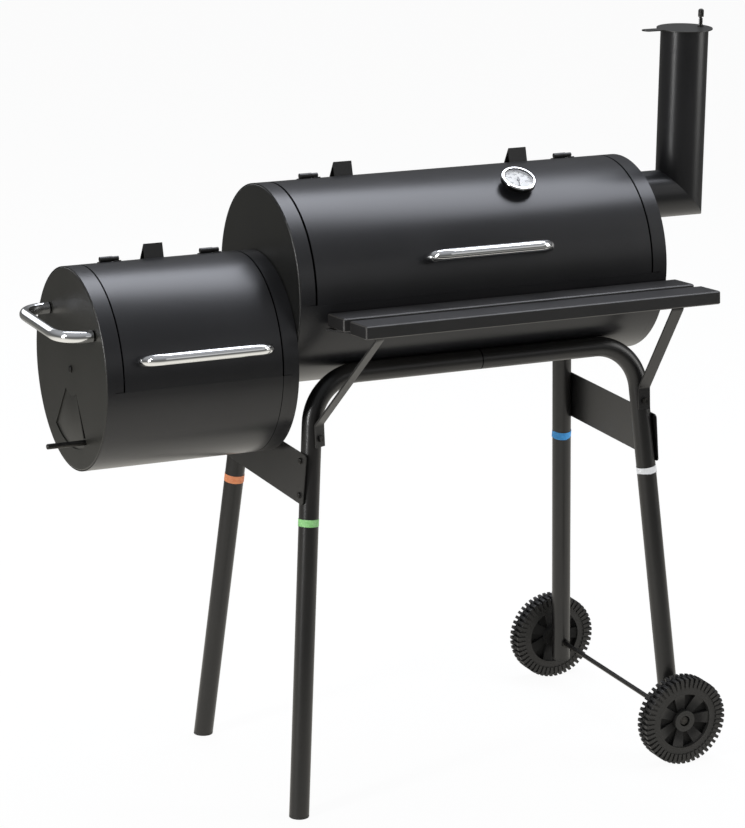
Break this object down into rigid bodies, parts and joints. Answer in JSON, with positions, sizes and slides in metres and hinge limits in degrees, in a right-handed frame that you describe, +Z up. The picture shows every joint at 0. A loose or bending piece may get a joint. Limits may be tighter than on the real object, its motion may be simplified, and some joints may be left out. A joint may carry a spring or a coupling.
{
  "type": "offset smoker",
  "caption": "Offset barrel smoker: hinged cooking drum with thermometer, lower side firebox with damper, capped chimney, slatted front shelf, tube stand with lugged wheels and bar handles.",
  "frame": {"origin": "middle of the object's footprint on the floor", "axes": "+Z up, +X from the firebox towards the chimney, -Y towards the front shelf"},
  "size_m": [1.18, 0.5478, 1.2163],
  "materials": {
    "black_heat_paint": "satin black heat paint",
    "chrome": "polished chrome plate",
    "bright_steel": "zinc-plated steel",
    "fire_grate": "dark iron bars",
    "painted_wood": "wood painted black",
    "black_plastic": "moulded black plastic",
    "wheel_tread": "moulded dark grey plastic with lugs",
    "dial_face": "white dial",
    "dial_glass": "clear dial glass",
    "dial_needle": "black pointer"
  },
  "bodies": {
    "stand": {"main_body": "black_heat_paint", "firebox_body": "black_heat_paint", "joining_bolts": "bright_steel", "main_end_left": "black_heat_paint", "firebox_end_right": "black_heat_paint", "main_end_right": "black_heat_paint", "hinge_leaves_fixed": "black_heat_paint", "hinge_pins": "bright_steel", "lid_stops": "black_heat_paint", "transport_handle": "chrome", "transport_handle_screws": "bright_steel", "firebox_end_left": "black_heat_paint", "damper_rivet": "bright_steel", "chimney_stub": "black_heat_paint", "chimney_stack": "black_heat_paint", "chimney_cap_bracket": "black_heat_paint", "chimney_cap_bolt": "bright_steel", "chimney_cap_spring": "bright_steel", "chimney_cap_nut": "bright_steel", "leg_plugs": "black_plastic", "drum_bolts": "bright_steel", "side_brace_left": "black_heat_paint", "side_brace_right": "black_heat_paint", "brace_screws": "bright_steel", "shelf_strap_left": "black_heat_paint", "shelf_strap_right": "black_heat_paint", "shelf_fasteners": "bright_steel", "shelf_slat_front": "painted_wood", "shelf_slat_rear": "painted_wood", "axle": "bright_steel", "axle_nuts_and_washers": "bright_steel", "leg_front_left": "black_heat_paint", "leg_back_left": "black_heat_paint", "leg_front_right": "black_heat_paint", "leg_back_right": "black_heat_paint", "cooking_grate_left": "bright_steel", "cooking_grate_right": "bright_steel", "charcoal_grate": "fire_grate", "grate_rests": "black_heat_paint"},
    "main_lid": {"main_lid": "black_heat_paint", "main_lid_handle": "chrome", "main_lid_handle_screws": "bright_steel", "main_lid_hinge_leaves": "black_heat_paint", "thermometer_stem": "bright_steel", "thermometer_case": "chrome", "thermometer_dial": "dial_face", "thermometer_lens": "dial_glass"},
    "thermometer_pointer": {"thermometer_needle": "dial_needle"},
    "firebox_lid": {"firebox_lid": "black_heat_paint", "firebox_lid_handle": "chrome", "firebox_lid_handle_screws": "bright_steel", "firebox_lid_hinge_leaves": "black_heat_paint"},
    "damper": {"damper_flap": "black_heat_paint", "damper_knob": "bright_steel"},
    "chimney_cap": {"chimney_cap": "black_heat_paint"},
    "wheel_front": {"wheel_front_hub": "black_plastic", "wheel_front_tyre": "wheel_tread"},
    "wheel_back": {"wheel_back_hub": "black_plastic", "wheel_back_tyre": "wheel_tread"}
  },
  "joints": [
    {"name": "main_lid_hinge", "type": "hinge", "parent": "stand", "child": "main_lid", "pos_m": [0.1115, 0.06968, 0.98115], "axis": [-1, 0, 0], "range_deg": [0, 135]},
    {"name": "thermometer_pointer_turn", "type": "hinge", "parent": "main_lid", "child": "thermometer_pointer", "pos_m": [0.201, -0.0452, 0.96283], "axis": [0, 0.4695, -0.8829], "range_deg": [0, 270]},
    {"name": "firebox_lid_hinge", "type": "hinge", "parent": "stand", "child": "firebox_lid", "pos_m": [-0.3705, 0.06968, 0.87465], "axis": [-1, 0, 0], "range_deg": [0, 135]},
    {"name": "damper_pivot", "type": "hinge", "parent": "stand", "child": "damper", "pos_m": [-0.529, 0.02968, 0.7155], "axis": [1, 0, 0], "range_deg": [0, 58]},
    {"name": "chimney_cap_swing", "type": "hinge", "parent": "stand", "child": "chimney_cap", "pos_m": [0.574, 0.02968, 1.1853], "axis": [0, 0, 1], "continuous": true},
    {"name": "wheel_front_roll", "type": "hinge", "parent": "stand", "child": "wheel_front", "pos_m": [0.45303, -0.19956, 0.074], "axis": [0, 1, 0], "continuous": true},
    {"name": "wheel_back_roll", "type": "hinge", "parent": "stand", "child": "wheel_back", "pos_m": [0.45303, 0.25891, 0.074], "axis": [0, 1, 0], "continuous": true}
  ]
}
